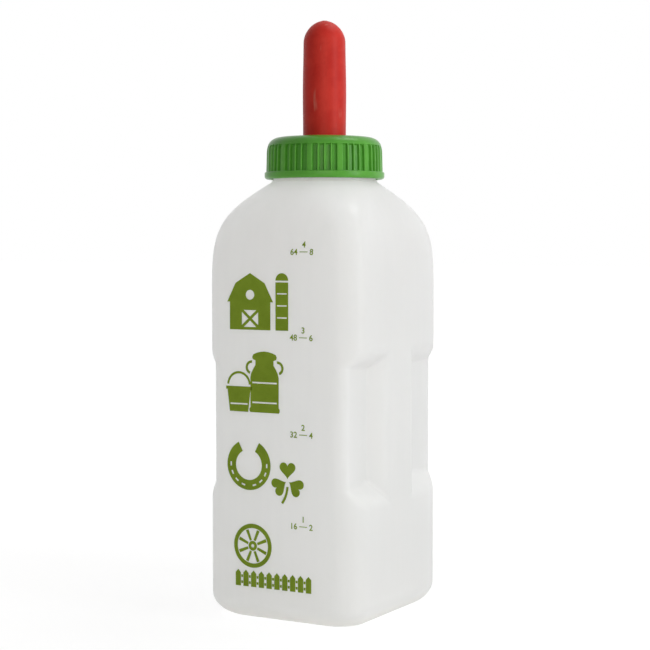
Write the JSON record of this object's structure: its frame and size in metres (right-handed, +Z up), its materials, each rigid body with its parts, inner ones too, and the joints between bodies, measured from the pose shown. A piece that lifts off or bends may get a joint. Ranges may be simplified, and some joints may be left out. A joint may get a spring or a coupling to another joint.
{
  "type": "livestock nursing bottle",
  "caption": "Square milky plastic bottle with grip notches in its sides, a ribbed green screw cap and a red rubber nipple, for hand feeding young livestock.",
  "frame": {"origin": "middle of the base, on the surface that the bottle stands on", "axes": "+Z up along the axis of the neck, cap and nipple; +X and -X are the two sides with the grip notches, -Y is the front that carries the scale"},
  "size_m": [0.1014, 0.1074, 0.3435],
  "materials": {
    "bottle_plastic": "milky, slightly see-through, satin",
    "cap_plastic": "satin moulded green",
    "nipple_rubber": "soft matt red"
  },
  "bodies": {
    "bottle": {"bottle": "bottle_plastic"},
    "nipple": {"nipple": "nipple_rubber"},
    "cap": {"screw_cap": "cap_plastic"}
  },
  "joints": [
    {"name": "nipple_lift", "type": "slide", "parent": "bottle", "child": "nipple", "axis": [0, 0, 1], "range_m": [0, 0.0063]},
    {"name": "cap_turn", "type": "hinge", "parent": "nipple", "child": "cap", "pos_m": [0, 0, 0.2517], "axis": [0, 0, 1], "range_deg": [0, 540]}
  ],
  "couplings": [
    {"joint": "cap_turn", "follows": "nipple_lift", "rad_per_m": 1496}
  ]
}
